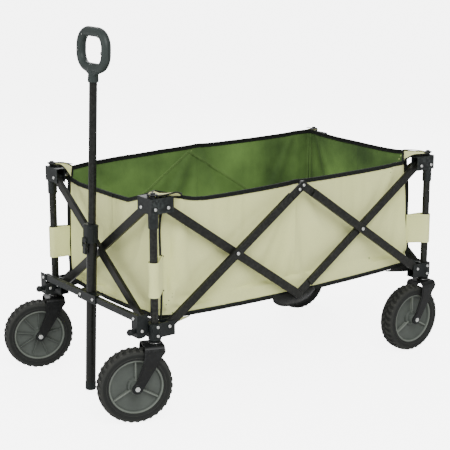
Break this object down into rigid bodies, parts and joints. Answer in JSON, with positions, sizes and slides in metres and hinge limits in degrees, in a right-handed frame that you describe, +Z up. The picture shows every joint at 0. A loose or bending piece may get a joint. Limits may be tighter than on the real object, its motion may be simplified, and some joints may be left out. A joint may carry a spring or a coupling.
{
  "type": "folding camp wagon",
  "caption": "Folding camp wagon: scissor frame with telescoping corner posts, canvas bag, front casters, fixed rear wheels and a telescoping pull handle.",
  "frame": {"origin": "middle of the open wagon, on top of the floor pad, 238 mm above the ground", "axes": "+Z up, +X from the pull-handle end to the rear, +Y across the wagon from the near side to the far side"},
  "size_m": [1.0396, 0.5544, 0.8909],
  "materials": {
    "frame_steel": "satin black",
    "bracket_steel": "satin black",
    "black_plastic": "matte",
    "bright_steel": "zinc plated",
    "tyre_rubber": "matte",
    "wheel_plastic": "satin",
    "canvas": "woven",
    "pad_fabric": "woven"
  },
  "bodies": {
    "frame_fn": {"bottom_bracket_fn": "bracket_steel", "lower_post_fn": "frame_steel"},
    "side_near_front_outer": {"bar_near_front_outer": "frame_steel"},
    "side_near_front_inner": {"bar_near_front_inner": "frame_steel"},
    "top_fn": {"top_bracket_fn": "bracket_steel", "inner_post_fn": "frame_steel", "bag": "canvas"},
    "side_near_rear_outer": {"bar_near_rear_outer": "frame_steel"},
    "side_near_rear_inner": {"bar_near_rear_inner": "frame_steel"},
    "frame_rn": {"bottom_bracket_rn": "bracket_steel", "lower_post_rn": "frame_steel", "fork_rn": "bracket_steel", "axle_rn": "bright_steel"},
    "top_rn": {"top_bracket_rn": "bracket_steel", "inner_post_rn": "frame_steel"},
    "end_front_outer": {"bar_front_outer": "frame_steel"},
    "end_front_inner": {"bar_front_inner": "frame_steel"},
    "frame_ff": {"bottom_bracket_ff": "bracket_steel", "lower_post_ff": "frame_steel"},
    "top_ff": {"top_bracket_ff": "bracket_steel", "inner_post_ff": "frame_steel"},
    "side_far_front_outer": {"bar_far_front_outer": "frame_steel"},
    "side_far_front_inner": {"bar_far_front_inner": "frame_steel"},
    "side_far_rear_outer": {"bar_far_rear_outer": "frame_steel"},
    "side_far_rear_inner": {"bar_far_rear_inner": "frame_steel"},
    "frame_rf": {"bottom_bracket_rf": "bracket_steel", "lower_post_rf": "frame_steel", "fork_rf": "bracket_steel", "axle_rf": "bright_steel"},
    "top_rf": {"top_bracket_rf": "bracket_steel", "inner_post_rf": "frame_steel"},
    "end_rear_outer": {"bar_rear_outer": "frame_steel"},
    "end_rear_inner": {"bar_rear_inner": "frame_steel"},
    "floor_front": {"floor_pad_front": "pad_fabric"},
    "floor_rear": {"floor_pad_rear": "pad_fabric"},
    "swing_near": {"swing_bracket_near": "bracket_steel", "swing_knob_near": "black_plastic"},
    "cross_near": {"crossbar_near": "frame_steel"},
    "handle_base": {"crossbar_centre": "bracket_steel", "handle_lower_tube": "frame_steel", "handle_collar": "black_plastic"},
    "cross_far": {"crossbar_far": "frame_steel"},
    "swing_far": {"swing_bracket_far": "bracket_steel", "swing_knob_far": "black_plastic"},
    "handle_top": {"handle_upper_tube": "frame_steel", "handle_grip": "black_plastic"},
    "lever": {"lock_lever": "black_plastic"},
    "caster_fn": {"fork_fn": "bracket_steel", "axle_fn": "bright_steel"},
    "caster_ff": {"fork_ff": "bracket_steel", "axle_ff": "bright_steel"},
    "wheel_fn": {"wheel_hub_fn": "wheel_plastic", "tyre_fn": "tyre_rubber"},
    "wheel_ff": {"wheel_hub_ff": "wheel_plastic", "tyre_ff": "tyre_rubber"},
    "wheel_rn": {"wheel_hub_rn": "wheel_plastic", "tyre_rn": "tyre_rubber"},
    "wheel_rf": {"wheel_hub_rf": "wheel_plastic", "tyre_rf": "tyre_rubber"}
  },
  "joints": [
    {"name": "fold", "type": "hinge", "parent": "frame_fn", "child": "side_near_front_outer", "pos_m": [-0.3995, -0.23, -0.015], "axis": [0, -1, 0], "range_deg": [0, 40], "deforming": ["bag", "floor_pad_front", "floor_pad_rear"]},
    {"name": "fold_near_front_cross", "type": "hinge", "parent": "side_near_front_outer", "child": "side_near_front_inner", "pos_m": [-0.19975, -0.23, 0.125], "axis": [0, -1, 0], "range_deg": [-80, 0]},
    {"name": "fold_top_fn", "type": "hinge", "parent": "side_near_front_inner", "child": "top_fn", "pos_m": [-0.3995, -0.23, 0.265], "axis": [0, -1, 0], "range_deg": [0, 40]},
    {"name": "fold_near_top_middle", "type": "hinge", "parent": "side_near_front_outer", "child": "side_near_rear_outer", "pos_m": [0, -0.23, 0.265], "axis": [0, -1, 0], "range_deg": [-80, 0]},
    {"name": "fold_near_rear_cross", "type": "hinge", "parent": "side_near_rear_outer", "child": "side_near_rear_inner", "pos_m": [0.19975, -0.23, 0.125], "axis": [0, -1, 0], "range_deg": [0, 80]},
    {"name": "fold_frame_rn", "type": "hinge", "parent": "side_near_rear_outer", "child": "frame_rn", "pos_m": [0.3995, -0.23, -0.015], "axis": [0, -1, 0], "range_deg": [0, 40]},
    {"name": "fold_top_rn", "type": "hinge", "parent": "side_near_rear_inner", "child": "top_rn", "pos_m": [0.3995, -0.23, 0.265], "axis": [0, -1, 0], "range_deg": [-40, 0]},
    {"name": "fold_front", "type": "hinge", "parent": "frame_fn", "child": "end_front_outer", "pos_m": [-0.433, -0.19975, -0.015], "axis": [1, 0, 0], "range_deg": [0, 40]},
    {"name": "fold_front_cross", "type": "hinge", "parent": "end_front_outer", "child": "end_front_inner", "pos_m": [-0.433, 0, 0.125], "axis": [1, 0, 0], "range_deg": [-80, 0]},
    {"name": "fold_frame_ff", "type": "hinge", "parent": "end_front_inner", "child": "frame_ff", "pos_m": [-0.433, 0.19975, -0.015], "axis": [1, 0, 0], "range_deg": [0, 40]},
    {"name": "fold_top_ff", "type": "hinge", "parent": "end_front_outer", "child": "top_ff", "pos_m": [-0.433, 0.19975, 0.265], "axis": [1, 0, 0], "range_deg": [-40, 0]},
    {"name": "fold_far_front", "type": "hinge", "parent": "frame_ff", "child": "side_far_front_outer", "pos_m": [-0.3995, 0.23, -0.015], "axis": [0, -1, 0], "range_deg": [0, 40]},
    {"name": "fold_far_front_cross", "type": "hinge", "parent": "side_far_front_outer", "child": "side_far_front_inner", "pos_m": [-0.19975, 0.23, 0.125], "axis": [0, -1, 0], "range_deg": [-80, 0]},
    {"name": "fold_far_top_middle", "type": "hinge", "parent": "side_far_front_outer", "child": "side_far_rear_outer", "pos_m": [0, 0.23, 0.265], "axis": [0, -1, 0], "range_deg": [-80, 0]},
    {"name": "fold_far_rear_cross", "type": "hinge", "parent": "side_far_rear_outer", "child": "side_far_rear_inner", "pos_m": [0.19975, 0.23, 0.125], "axis": [0, -1, 0], "range_deg": [0, 80]},
    {"name": "fold_frame_rf", "type": "hinge", "parent": "side_far_rear_outer", "child": "frame_rf", "pos_m": [0.3995, 0.23, -0.015], "axis": [0, -1, 0], "range_deg": [0, 40]},
    {"name": "fold_top_rf", "type": "hinge", "parent": "side_far_rear_inner", "child": "top_rf", "pos_m": [0.3995, 0.23, 0.265], "axis": [0, -1, 0], "range_deg": [-40, 0]},
    {"name": "fold_rear", "type": "hinge", "parent": "frame_rn", "child": "end_rear_outer", "pos_m": [0.433, -0.19975, -0.015], "axis": [1, 0, 0], "range_deg": [0, 40]},
    {"name": "fold_rear_cross", "type": "hinge", "parent": "end_rear_outer", "child": "end_rear_inner", "pos_m": [0.433, 0, 0.125], "axis": [1, 0, 0], "range_deg": [-80, 0]},
    {"name": "fold_floor_front", "type": "hinge", "parent": "top_fn", "child": "floor_front", "pos_m": [-0.394, 0, -0.003], "axis": [0, -1, 0], "range_deg": [0, 72.14]},
    {"name": "fold_floor_rear", "type": "hinge", "parent": "top_rn", "child": "floor_rear", "pos_m": [0.394, 0, -0.003], "axis": [0, 1, 0], "range_deg": [0, 72.14]},
    {"name": "handle_swing", "type": "hinge", "parent": "frame_fn", "child": "swing_near", "pos_m": [-0.4645, -0.2137, -0.0191], "axis": [0, -1, 0], "range_deg": [0, 60]},
    {"name": "fold_cross_near", "type": "hinge", "parent": "swing_near", "child": "cross_near", "pos_m": [-0.4692, -0.2106, 0.0098], "axis": [1, 0, 0], "range_deg": [0, 75.67]},
    {"name": "fold_handle_base", "type": "hinge", "parent": "cross_near", "child": "handle_base", "pos_m": [-0.4692, -0.0289, 0.0098], "axis": [1, 0, 0], "range_deg": [-75.67, 0]},
    {"name": "fold_cross_far", "type": "hinge", "parent": "handle_base", "child": "cross_far", "pos_m": [-0.4692, 0.0289, 0.0098], "axis": [1, 0, 0], "range_deg": [-75.67, 0]},
    {"name": "handle_swing_far", "type": "hinge", "parent": "frame_ff", "child": "swing_far", "pos_m": [-0.4645, 0.2137, -0.0191], "axis": [0, -1, 0], "range_deg": [0, 60]},
    {"name": "handle_extend", "type": "slide", "parent": "handle_base", "child": "handle_top", "axis": [0.0384, 0, 0.9993], "range_m": [0, 0.3]},
    {"name": "lock_lever_press", "type": "hinge", "parent": "handle_base", "child": "lever", "pos_m": [-0.47697, 0, 0.13844], "axis": [0, 1, 0], "range_deg": [-4, 0], "stiffness_Nm_per_rad": 0.05},
    {"name": "caster_swivel_fn", "type": "hinge", "parent": "frame_fn", "child": "caster_fn", "pos_m": [-0.433, -0.23, -0.048], "axis": [0, 0, 1], "continuous": true},
    {"name": "caster_swivel_ff", "type": "hinge", "parent": "frame_ff", "child": "caster_ff", "pos_m": [-0.433, 0.23, -0.048], "axis": [0, 0, 1], "continuous": true},
    {"name": "wheel_spin_fn", "type": "hinge", "parent": "caster_fn", "child": "wheel_fn", "pos_m": [-0.47907, -0.21332, -0.149], "axis": [-0.3404, -0.9403, 0], "continuous": true},
    {"name": "wheel_spin_ff", "type": "hinge", "parent": "caster_ff", "child": "wheel_ff", "pos_m": [-0.47955, 0.2453, -0.149], "axis": [-0.3123, -0.95, 0], "continuous": true},
    {"name": "wheel_spin_rn", "type": "hinge", "parent": "frame_rn", "child": "wheel_rn", "pos_m": [0.384, -0.23, -0.149], "axis": [0, -1, 0], "continuous": true},
    {"name": "wheel_spin_rf", "type": "hinge", "parent": "frame_rf", "child": "wheel_rf", "pos_m": [0.384, 0.23, -0.149], "axis": [0, -1, 0], "continuous": true}
  ],
  "couplings": [
    {"joint": "fold_near_front_cross", "follows": "fold", "ratio": -2},
    {"joint": "fold_top_fn", "follows": "fold", "ratio": 1},
    {"joint": "fold_near_top_middle", "follows": "fold", "ratio": -2},
    {"joint": "fold_near_rear_cross", "follows": "fold", "ratio": 2},
    {"joint": "fold_frame_rn", "follows": "fold", "ratio": 1},
    {"joint": "fold_top_rn", "follows": "fold", "ratio": -1},
    {"joint": "fold_front", "follows": "fold", "ratio": 1},
    {"joint": "fold_front_cross", "follows": "fold", "ratio": -2},
    {"joint": "fold_frame_ff", "follows": "fold", "ratio": 1},
    {"joint": "fold_top_ff", "follows": "fold", "ratio": -1},
    {"joint": "fold_far_front", "follows": "fold", "ratio": 1},
    {"joint": "fold_far_front_cross", "follows": "fold", "ratio": -2},
    {"joint": "fold_far_top_middle", "follows": "fold", "ratio": -2},
    {"joint": "fold_far_rear_cross", "follows": "fold", "ratio": 2},
    {"joint": "fold_frame_rf", "follows": "fold", "ratio": 1},
    {"joint": "fold_top_rf", "follows": "fold", "ratio": -1},
    {"joint": "fold_rear", "follows": "fold", "ratio": 1},
    {"joint": "fold_rear_cross", "follows": "fold", "ratio": -2},
    {"joint": "fold_floor_front", "follows": "fold", "ratio": 1.8034},
    {"joint": "fold_floor_rear", "follows": "fold", "ratio": 1.8034},
    {"joint": "fold_cross_near", "follows": "fold", "ratio": 1.8917},
    {"joint": "fold_handle_base", "follows": "fold", "ratio": -1.8917},
    {"joint": "fold_cross_far", "follows": "fold", "ratio": -1.8917},
    {"joint": "handle_swing_far", "follows": "handle_swing", "ratio": 1}
  ]
}
